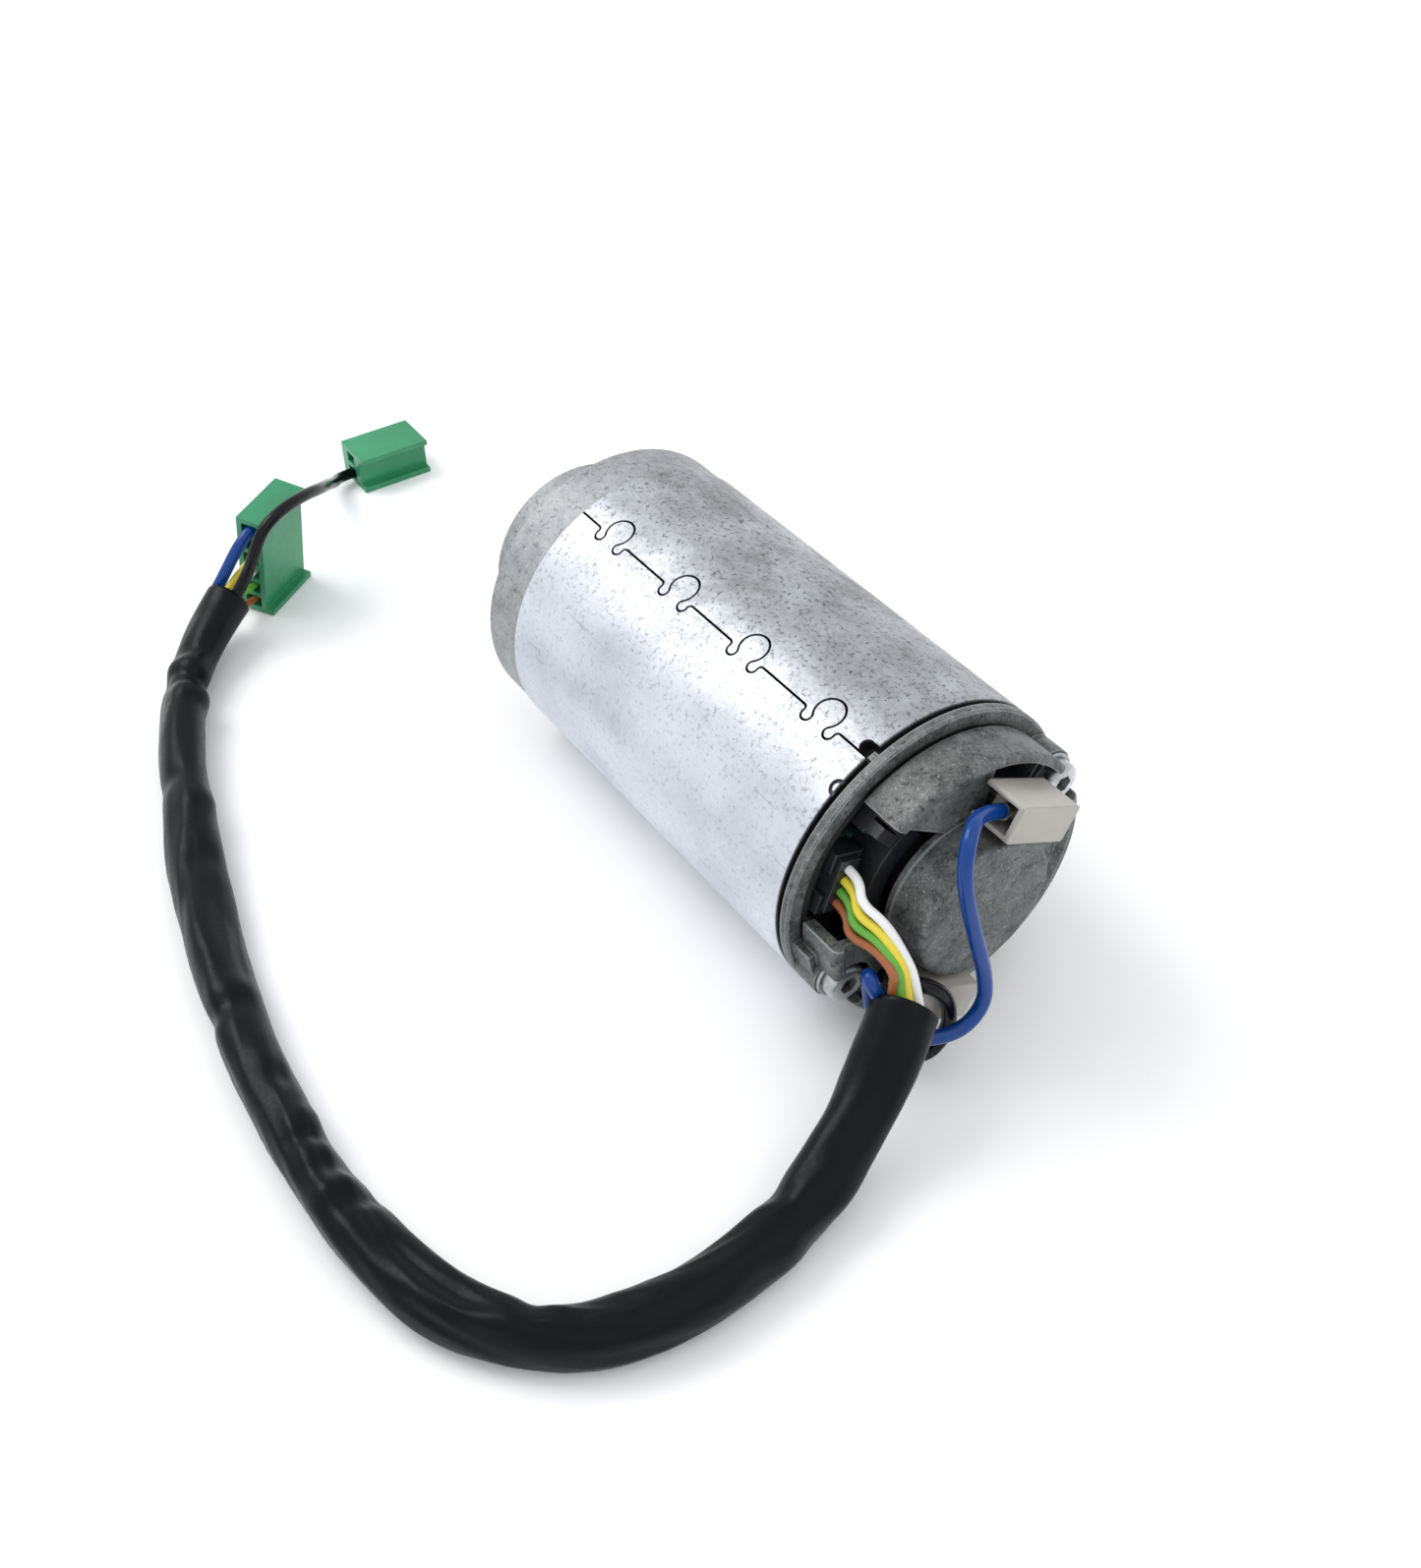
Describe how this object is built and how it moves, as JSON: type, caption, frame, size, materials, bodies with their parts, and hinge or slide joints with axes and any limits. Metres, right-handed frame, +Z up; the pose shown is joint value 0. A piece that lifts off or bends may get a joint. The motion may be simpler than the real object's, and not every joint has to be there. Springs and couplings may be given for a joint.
{
  "type": "brushed dc motor",
  "caption": "Brushed DC motor from a roller shutter drive: round steel case, cast end covers, front pilot boss, speed sensor and sleeved harness with green connectors",
  "frame": {"origin": "on the shaft axis, in the plane of the front mounting face around the pilot boss", "axes": "+X along the shaft and out of the drive end, +Z up, +Y the side the harness leaves on"},
  "size_m": [0.2649, 0.1528, 0.063],
  "materials": {
    "tube_steel": "zinc-plated rolled sheet, dull bright with scuffs and dark specks",
    "cast_alloy": "die-cast alloy, matte grey with speckled skin",
    "ferrite": "sintered ferrite, matte black",
    "bearing_steel": "ground bearing steel",
    "cage_steel": "pressed steel",
    "spring_steel": "spring wire",
    "shaft_steel": "ground steel",
    "lamination_steel": "stacked electrical sheet",
    "zinc_steel": "bright zinc plate",
    "holder_brass": "pressed brass",
    "tinned_brass": "tin-plated brass",
    "copper": "enamelled copper wire",
    "copper_bar": "turned copper",
    "carbon": "carbon-copper brush compound, matte",
    "phenolic": "moulding compound",
    "board": "glass-epoxy circuit board",
    "black_plastic": "moulded black thermoplastic",
    "natural_nylon": "uncoloured nylon, slightly translucent",
    "green_plastic": "moulded green thermoplastic",
    "black_pvc": "soft black PVC tubing",
    "wire_white": "PVC insulation",
    "wire_yellow": "PVC insulation",
    "wire_green": "PVC insulation",
    "wire_brown": "PVC insulation",
    "wire_blue": "PVC insulation",
    "wire_black": "PVC insulation"
  },
  "bodies": {
    "case": {"tube": "tube_steel", "front_cover": "cast_alloy", "rear_cover": "cast_alloy", "magnet_upper": "ferrite", "magnet_lower": "ferrite", "front_bearing_outer_race": "bearing_steel", "rear_bearing_outer_race": "bearing_steel", "preload_washer": "cage_steel", "brush_card": "black_plastic", "brush_holder_a": "holder_brass", "brush_holder_b": "holder_brass", "brush_spring_a": "spring_steel", "brush_spring_b": "spring_steel", "choke_cores": "ferrite", "choke_coils": "copper", "sensor_board": "board", "hall_sensors": "black_plastic", "ribbon_socket": "black_plastic", "socket_pins": "tinned_brass", "ribbon_plug": "black_plastic", "terminal_tab_a": "tinned_brass", "terminal_tab_b": "tinned_brass", "receptacle_a": "tinned_brass", "receptacle_b": "tinned_brass", "flag_housing_a": "natural_nylon", "flag_housing_b": "natural_nylon", "through_bolts": "zinc_steel", "bolt_washers": "zinc_steel", "six_way_connector": "green_plastic", "two_way_connector": "green_plastic", "crimp_contacts": "tinned_brass", "harness_sleeve": "black_pvc", "signal_wire_white": "wire_white", "signal_wire_yellow": "wire_yellow", "signal_wire_green": "wire_green", "signal_wire_brown": "wire_brown", "lead_blue": "wire_blue", "lead_black": "wire_black", "tail_blue": "wire_blue", "tail_yellow": "wire_yellow", "tail_white": "wire_white", "tail_green": "wire_green", "tail_brown": "wire_brown", "tail_black": "wire_black"},
    "rotor": {"shaft": "shaft_steel", "armature_core": "lamination_steel", "windings": "copper", "commutator_hub": "phenolic", "commutator_bars": "copper_bar", "sensor_magnet": "ferrite", "front_bearing_inner_race": "bearing_steel", "rear_bearing_inner_race": "bearing_steel"},
    "front_ball_set": {"front_bearing_balls": "bearing_steel", "front_bearing_cage": "cage_steel"},
    "rear_ball_set": {"rear_bearing_balls": "bearing_steel", "rear_bearing_cage": "cage_steel"},
    "brush_a": {"brush_a": "carbon"},
    "brush_b": {"brush_b": "carbon"}
  },
  "joints": [
    {"name": "rotor_spin", "type": "hinge", "parent": "case", "child": "rotor", "pos_m": [0, 0, 0], "axis": [1, 0, 0], "continuous": true},
    {"name": "front_cage_spin", "type": "hinge", "parent": "case", "child": "front_ball_set", "pos_m": [0.0065, 0, 0], "axis": [1, 0, 0], "continuous": true},
    {"name": "rear_cage_spin", "type": "hinge", "parent": "case", "child": "rear_ball_set", "pos_m": [-0.1149, 0, 0], "axis": [1, 0, 0], "continuous": true},
    {"name": "brush_a_slide", "type": "slide", "parent": "case", "child": "brush_a", "axis": [0, 0.4226, 0.9063], "range_m": [0, 0.003], "stiffness_N_per_m": 300, "springref_m": -0.008, "deforming": ["brush_spring_a"]},
    {"name": "brush_b_slide", "type": "slide", "parent": "case", "child": "brush_b", "axis": [0, -0.4226, -0.9063], "range_m": [0, 0.003], "stiffness_N_per_m": 300, "springref_m": -0.008, "deforming": ["brush_spring_b"]}
  ],
  "couplings": [
    {"joint": "front_cage_spin", "follows": "rotor_spin", "ratio": 0.381},
    {"joint": "rear_cage_spin", "follows": "rotor_spin", "ratio": 0.368}
  ]
}
